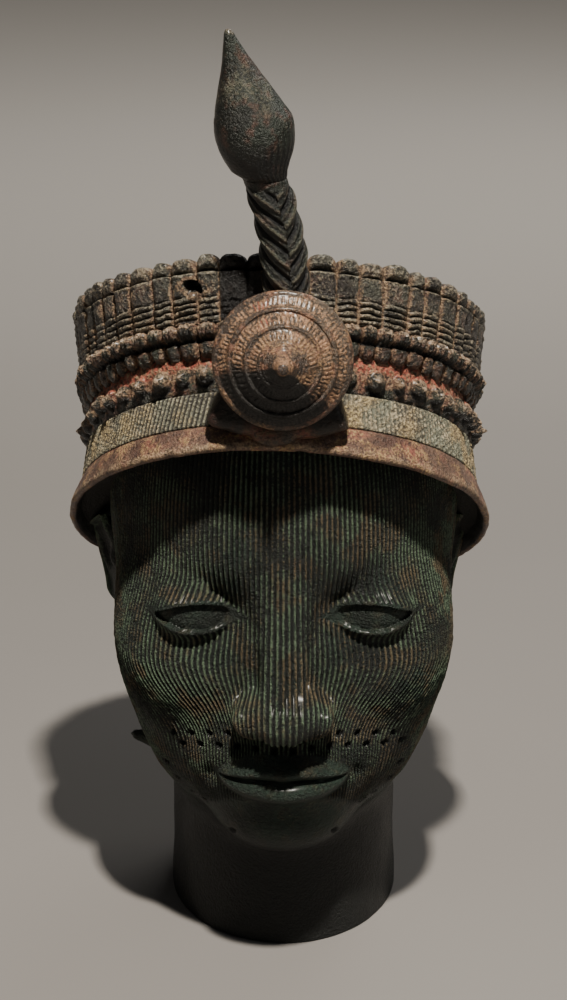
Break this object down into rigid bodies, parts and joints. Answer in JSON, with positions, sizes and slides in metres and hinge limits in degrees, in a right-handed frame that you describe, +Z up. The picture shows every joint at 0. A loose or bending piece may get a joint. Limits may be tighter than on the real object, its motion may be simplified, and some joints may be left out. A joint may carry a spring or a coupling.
{
  "type": "crowned bronze head",
  "caption": "Cast bronze head with a striated face, a tall slanted crown of bead tiers, a stepped rosette and a plaited plume, standing on its flat-cut neck.",
  "frame": {"origin": "middle of the flat underside of the neck", "axes": "+Z up, the face looks along -Y, +X to the right of someone who looks at the face"},
  "size_m": [0.1604, 0.2039, 0.355],
  "materials": {
    "bronze": "dark green-brown patina over cast bronze, with worn ochre high points and traces of red paint on the crown"
  },
  "bodies": {
    "root": {"crowned_head": "bronze"}
  },
  "joints": []
}
